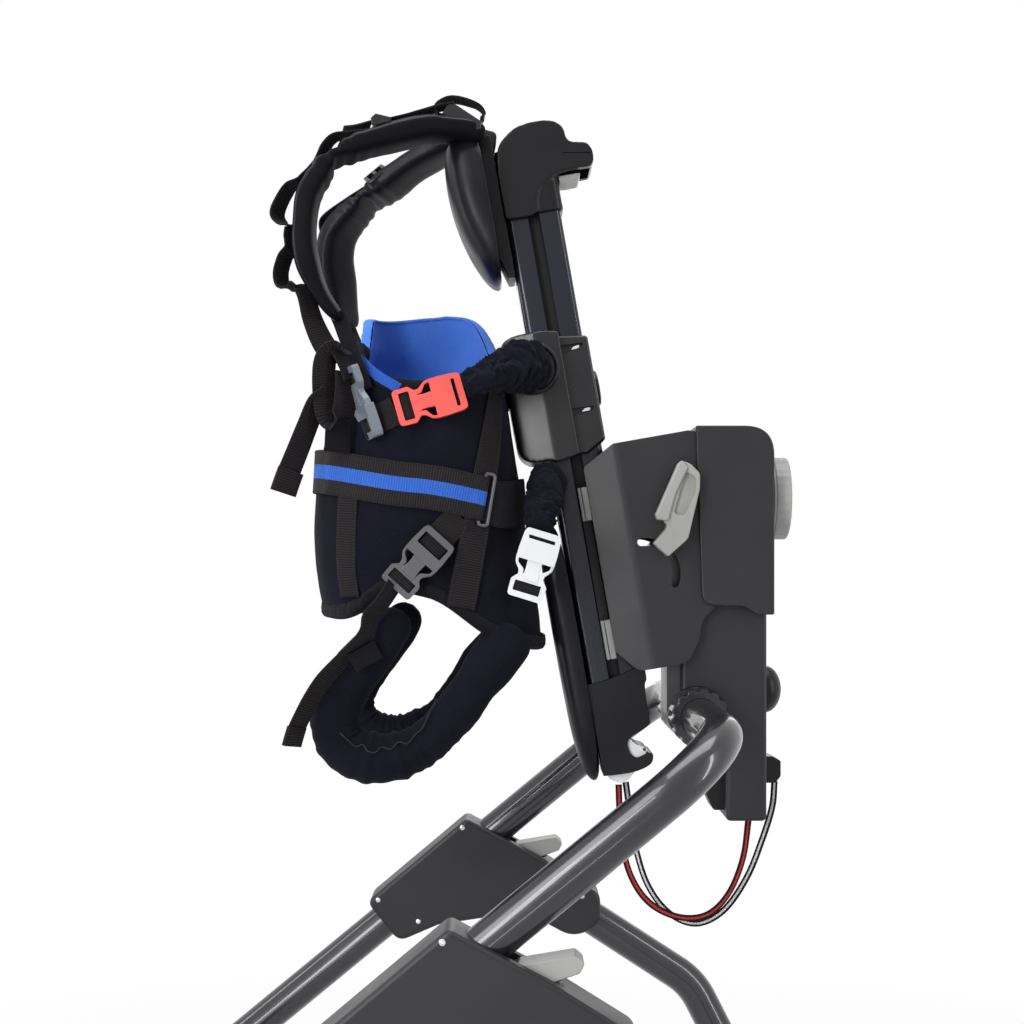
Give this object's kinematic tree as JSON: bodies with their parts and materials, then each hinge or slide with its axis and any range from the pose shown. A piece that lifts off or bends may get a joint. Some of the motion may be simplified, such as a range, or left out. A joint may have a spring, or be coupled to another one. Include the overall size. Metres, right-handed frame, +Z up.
{
  "type": "standing frame",
  "caption": "Child's gait trainer: bent tube side frames on swivel casters, a folding column, a tilting mast with pads, and a trunk harness with padded straps.",
  "frame": {"origin": "on the floor, under the middle of the whole machine's bounding box", "axes": "+Z up, +X to the machine's rear (the user faces -X), +Y to the user's right"},
  "size_m": [0.768, 0.594, 1.1713],
  "materials": {
    "tube_paint": "dark metallic grey, gloss",
    "charcoal_plastic": "fine texture, matt",
    "black_plastic": "satin",
    "grey_plastic": "satin",
    "black_steel": "satin",
    "steel": "satin",
    "anodised": "black anodised, satin",
    "tyre_rubber": "matt",
    "vinyl": "coated cloth, glossy",
    "fabric": "woven, matt",
    "red_plastic": "satin",
    "white_plastic": "satin",
    "dark_grey_plastic": "satin",
    "cord_weave": "flat weave"
  },
  "bodies": {
    "base": {"main_tube_left": "tube_paint", "main_tube_right": "tube_paint", "housing_outer_left": "charcoal_plastic", "housing_inner_left": "charcoal_plastic", "housing_outer_right": "charcoal_plastic", "housing_inner_right": "charcoal_plastic", "hub_collar_left": "black_plastic", "hub_collar_right": "black_plastic", "hub_axle": "steel"},
    "column": {"column_cover": "charcoal_plastic", "column_post": "black_steel", "head_cover": "charcoal_plastic", "cord_clip": "black_plastic", "tilt_pin": "steel", "clamp_bolt": "steel"},
    "tension_knob": {"tension_knob": "grey_plastic"},
    "dome_knob": {"dome_knob": "black_plastic"},
    "tilt_lever": {"tilt_lever": "grey_plastic"},
    "carrier": {"carrier": "charcoal_plastic", "slide_rail_left": "grey_plastic", "slide_rail_right": "grey_plastic", "red_cord": "cord_weave", "white_cord": "cord_weave"},
    "mast": {"mast": "anodised", "top_cap": "black_plastic", "foot_cap": "black_plastic", "back_plate": "black_plastic", "back_pad": "vinyl", "pelvic_pad": "vinyl"},
    "grip_lever": {"grip_lever": "grey_plastic"},
    "chest_bracket": {"chest_bracket": "charcoal_plastic", "vest": "fabric", "shoulder_strap_left": "vinyl", "shoulder_strap_right": "vinyl", "leg_loop_left": "fabric", "leg_loop_right": "fabric", "arm_sleeve_left": "fabric", "arm_sleeve_right": "fabric", "hip_sleeve_left": "fabric", "hip_sleeve_right": "fabric", "side_buckle_left": "red_plastic", "thigh_buckle_left": "dark_grey_plastic", "hip_buckle_left": "white_plastic"},
    "bracket_knob": {"bracket_knob": "black_plastic"},
    "rear_leg_left": {"rear_leg_left": "tube_paint"},
    "fold_lever_left": {"fold_lever_left": "grey_plastic"},
    "fork_front_left": {"fork_front_left": "black_steel"},
    "wheel_front_left": {"wheel_front_left": "grey_plastic", "tyre_front_left": "tyre_rubber"},
    "fork_rear_left": {"fork_rear_left": "black_steel"},
    "wheel_rear_left": {"wheel_rear_left": "grey_plastic", "tyre_rear_left": "tyre_rubber"},
    "rear_leg_right": {"rear_leg_right": "tube_paint"},
    "fold_lever_right": {"fold_lever_right": "grey_plastic"},
    "fork_front_right": {"fork_front_right": "black_steel"},
    "wheel_front_right": {"wheel_front_right": "grey_plastic", "tyre_front_right": "tyre_rubber"},
    "fork_rear_right": {"fork_rear_right": "black_steel"},
    "wheel_rear_right": {"wheel_rear_right": "grey_plastic", "tyre_rear_right": "tyre_rubber"}
  },
  "joints": [
    {"name": "rear_leg_fold_left", "type": "hinge", "parent": "base", "child": "rear_leg_left", "pos_m": [0.084, -0.27, 0.402], "axis": [0, 1, 0], "range_deg": [0, 65]},
    {"name": "fold_lever_left", "type": "hinge", "parent": "base", "child": "fold_lever_left", "pos_m": [0.012, -0.27, 0.452], "axis": [0, 1, 0], "range_deg": [-15, 0], "stiffness_Nm_per_rad": 0.4, "springref_deg": 5.73},
    {"name": "swivel_front_left", "type": "hinge", "parent": "base", "child": "fork_front_left", "pos_m": [-0.344, -0.27, 0.166], "axis": [0, 0, 1], "continuous": true},
    {"name": "spin_front_left", "type": "hinge", "parent": "fork_front_left", "child": "wheel_front_left", "pos_m": [-0.309, -0.27, 0.075], "axis": [0, 1, 0], "continuous": true},
    {"name": "swivel_rear_left", "type": "hinge", "parent": "rear_leg_left", "child": "fork_rear_left", "pos_m": [0.274, -0.27, 0.166], "axis": [0, 0, 1], "continuous": true},
    {"name": "spin_rear_left", "type": "hinge", "parent": "fork_rear_left", "child": "wheel_rear_left", "pos_m": [0.309, -0.27, 0.075], "axis": [0, 1, 0], "continuous": true},
    {"name": "rear_leg_fold_right", "type": "hinge", "parent": "base", "child": "rear_leg_right", "pos_m": [0.084, 0.27, 0.402], "axis": [0, 1, 0], "range_deg": [0, 65]},
    {"name": "fold_lever_right", "type": "hinge", "parent": "base", "child": "fold_lever_right", "pos_m": [0.012, 0.27, 0.452], "axis": [0, 1, 0], "range_deg": [-15, 0], "stiffness_Nm_per_rad": 0.4, "springref_deg": 5.73},
    {"name": "swivel_front_right", "type": "hinge", "parent": "base", "child": "fork_front_right", "pos_m": [-0.344, 0.27, 0.166], "axis": [0, 0, 1], "continuous": true},
    {"name": "spin_front_right", "type": "hinge", "parent": "fork_front_right", "child": "wheel_front_right", "pos_m": [-0.309, 0.27, 0.075], "axis": [0, 1, 0], "continuous": true},
    {"name": "swivel_rear_right", "type": "hinge", "parent": "rear_leg_right", "child": "fork_rear_right", "pos_m": [0.274, 0.27, 0.166], "axis": [0, 0, 1], "continuous": true},
    {"name": "spin_rear_right", "type": "hinge", "parent": "fork_rear_right", "child": "wheel_rear_right", "pos_m": [0.309, 0.27, 0.075], "axis": [0, 1, 0], "continuous": true},
    {"name": "column_fold", "type": "hinge", "parent": "base", "child": "column", "pos_m": [0.183, 0, 0.632], "axis": [0, 1, 0], "range_deg": [-75, 0]},
    {"name": "tension_knob_turn", "type": "hinge", "parent": "column", "child": "tension_knob", "pos_m": [0.245, 0, 0.826], "axis": [1, 0, 0], "continuous": true},
    {"name": "dome_knob_turn", "type": "hinge", "parent": "column", "child": "dome_knob", "pos_m": [0.245, 0, 0.653], "axis": [1, 0, 0], "continuous": true},
    {"name": "tilt_lever_turn", "type": "hinge", "parent": "column", "child": "tilt_lever", "pos_m": [0.15324, -0.0485, 0.78006], "axis": [0, 1, 0], "range_deg": [-75, 0]},
    {"name": "mast_tilt", "type": "hinge", "parent": "column", "child": "carrier", "pos_m": [0.136, 0, 0.758], "axis": [0, 1, 0], "range_deg": [-4, 14], "deforming": ["red_cord", "white_cord"]},
    {"name": "mast_height", "type": "slide", "parent": "carrier", "child": "mast", "axis": [-0.1736, 0, 0.9848], "range_m": [-0.02, 0.012]},
    {"name": "grip_squeeze", "type": "hinge", "parent": "mast", "child": "grip_lever", "pos_m": [0.05947, 0, 1.10854], "axis": [0, 1, 0], "range_deg": [-10, 0], "stiffness_Nm_per_rad": 0.3, "springref_deg": 5.73},
    {"name": "bracket_height", "type": "slide", "parent": "mast", "child": "chest_bracket", "axis": [-0.1736, 0, 0.9848], "range_m": [0, 0.045], "deforming": ["shoulder_strap_left", "shoulder_strap_right"]},
    {"name": "bracket_knob_turn", "type": "hinge", "parent": "chest_bracket", "child": "bracket_knob", "pos_m": [0.09365, 0, 0.9262], "axis": [0.9848, 0, 0.1736], "continuous": true}
  ]
}
